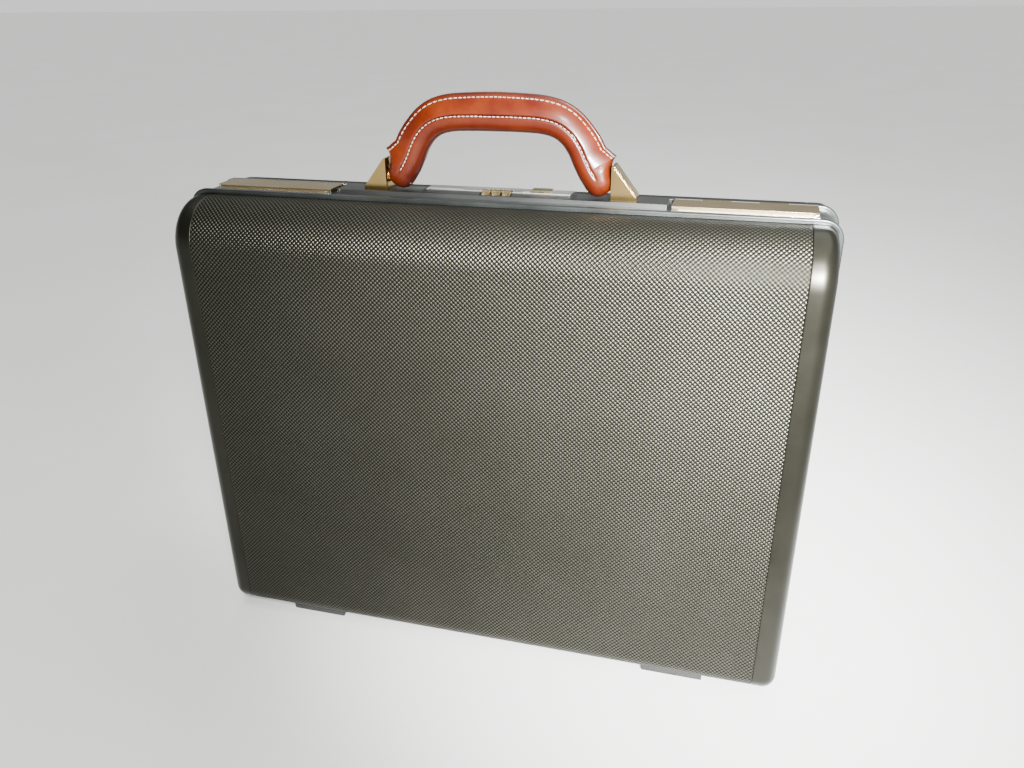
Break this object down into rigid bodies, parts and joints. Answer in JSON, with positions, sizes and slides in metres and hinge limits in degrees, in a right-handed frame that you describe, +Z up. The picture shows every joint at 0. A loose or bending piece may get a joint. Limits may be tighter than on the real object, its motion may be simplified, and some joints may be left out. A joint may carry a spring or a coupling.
{
  "type": "attache case",
  "caption": "Slim aluminium attache case standing on its hinge side: two shells in frame rings, hinged lid with folding stays, two flap latches, number lock and padded leather handle.",
  "frame": {"origin": "middle of the case on the plane of its four feet, hinge side down", "axes": "+X to the right seen from the lid side, lid faces -Y, +Z up to the handle"},
  "size_m": [0.4564, 0.13, 0.4213],
  "materials": {
    "embossed_shell": "embossed, olive-gunmetal lacquer",
    "satin_cap": "satin olive-gunmetal lacquer",
    "dark_frame": "dark anodised",
    "lining": "woven",
    "organiser": "grained",
    "feet": "matt",
    "seal": "matt",
    "plated_steel": "nickel plated",
    "lock_cover": "matt",
    "housing": "dark satin",
    "satin_plate": "satin",
    "name_plate": "satin",
    "gilt_button": "polished",
    "dial": "satin",
    "brass": "polished",
    "champagne_gold": "satin champagne gold",
    "bright_strike": "bright",
    "handle_core": "mill finish",
    "handle_leather": "glossy padded, stitched"
  },
  "bodies": {
    "base_case": {"base_end_cap_left": "satin_cap", "base_end_cap_right": "satin_cap", "base_feet": "feet", "base_frame": "dark_frame", "base_hinge_leaf_left": "plated_steel", "base_hinge_leaf_right": "plated_steel", "base_hinge_rivets": "plated_steel", "base_lining": "lining", "base_panel": "embossed_shell", "base_stay_bracket_left": "plated_steel", "base_stay_bracket_right": "plated_steel", "bracket_screws": "plated_steel", "dial_axle": "plated_steel", "frame_seal": "seal", "handle_bracket_left": "brass", "handle_bracket_right": "brass", "handle_bushings": "brass", "handle_pins": "plated_steel", "hinge_pins": "plated_steel", "latch_hinge_left": "bright_strike", "latch_hinge_right": "bright_strike", "latch_pins": "plated_steel", "latch_spring_left": "plated_steel", "latch_spring_right": "plated_steel", "lock_cover": "lock_cover", "lock_housing": "housing", "lock_plate": "satin_plate", "name_plate": "name_plate", "release_spring": "plated_steel"},
    "lid": {"lid_panel": "embossed_shell", "lid_end_cap_left": "satin_cap", "lid_end_cap_right": "satin_cap", "lid_frame": "dark_frame", "lid_lining": "lining", "lid_organiser": "organiser", "lid_feet": "feet", "lid_hinge_leaf_left": "plated_steel", "lid_hinge_leaf_right": "plated_steel", "lid_hinge_rivets": "plated_steel", "strike_left": "bright_strike", "strike_right": "bright_strike", "lid_stay_bracket_left": "plated_steel", "lid_stay_bracket_right": "plated_steel"},
    "latch_left": {"latch_plate_left": "champagne_gold"},
    "latch_right": {"latch_plate_right": "champagne_gold"},
    "release": {"release_button": "gilt_button", "lock_bar": "plated_steel"},
    "dial_1": {"dial_1": "dial"},
    "dial_2": {"dial_2": "dial"},
    "dial_3": {"dial_3": "dial"},
    "handle": {"handle_core": "handle_core", "handle_cover": "handle_leather"},
    "base_stay_left": {"base_stay_arm_left": "plated_steel", "stay_elbow_pin_left": "plated_steel"},
    "lid_stay_left": {"lid_stay_arm_left": "plated_steel"},
    "base_stay_right": {"base_stay_arm_right": "plated_steel", "stay_elbow_pin_right": "plated_steel"},
    "lid_stay_right": {"lid_stay_arm_right": "plated_steel"}
  },
  "joints": [
    {"name": "lid_hinge", "type": "hinge", "parent": "base_case", "child": "lid", "pos_m": [0, -0.011, 0.002], "axis": [1, 0, 0], "range_deg": [0, 95]},
    {"name": "base_stay_left", "type": "hinge", "parent": "base_case", "child": "base_stay_left", "pos_m": [-0.216, 0.003, 0.0909], "axis": [1, 0, 0], "range_deg": [0, 95]},
    {"name": "lid_stay_left", "type": "hinge", "parent": "lid", "child": "lid_stay_left", "pos_m": [-0.214, -0.025, 0.0909], "axis": [1, 0, 0], "range_deg": [-95, 0]},
    {"name": "base_stay_right", "type": "hinge", "parent": "base_case", "child": "base_stay_right", "pos_m": [0.216, 0.003, 0.0909], "axis": [1, 0, 0], "range_deg": [0, 95]},
    {"name": "lid_stay_right", "type": "hinge", "parent": "lid", "child": "lid_stay_right", "pos_m": [0.214, -0.025, 0.0909], "axis": [1, 0, 0], "range_deg": [-95, 0]},
    {"name": "latch_left", "type": "hinge", "parent": "base_case", "child": "latch_left", "pos_m": [-0.1675, 0.0102, 0.3524], "axis": [-1, 0, 0], "range_deg": [0, 75]},
    {"name": "latch_right", "type": "hinge", "parent": "base_case", "child": "latch_right", "pos_m": [0.1675, 0.0102, 0.3524], "axis": [-1, 0, 0], "range_deg": [0, 75]},
    {"name": "release_slide", "type": "slide", "parent": "base_case", "child": "release", "axis": [-1, 0, 0], "range_m": [0, 0.005], "stiffness_N_per_m": 250, "deforming": ["release_spring"]},
    {"name": "dial_1_turn", "type": "hinge", "parent": "base_case", "child": "dial_1", "pos_m": [-0.0074, 0, 0.3499], "axis": [1, 0, 0], "continuous": true},
    {"name": "dial_2_turn", "type": "hinge", "parent": "base_case", "child": "dial_2", "pos_m": [0, 0, 0.3499], "axis": [1, 0, 0], "continuous": true},
    {"name": "dial_3_turn", "type": "hinge", "parent": "base_case", "child": "dial_3", "pos_m": [0.0074, 0, 0.3499], "axis": [1, 0, 0], "continuous": true},
    {"name": "handle_swing", "type": "hinge", "parent": "base_case", "child": "handle", "pos_m": [0, 0.002, 0.3633], "axis": [1, 0, 0], "range_deg": [-75, 75]}
  ],
  "couplings": [
    {"joint": "base_stay_left", "follows": "lid_hinge", "ratio": 1},
    {"joint": "lid_stay_left", "follows": "lid_hinge", "ratio": -1},
    {"joint": "base_stay_right", "follows": "lid_hinge", "ratio": 1},
    {"joint": "lid_stay_right", "follows": "lid_hinge", "ratio": -1}
  ]
}
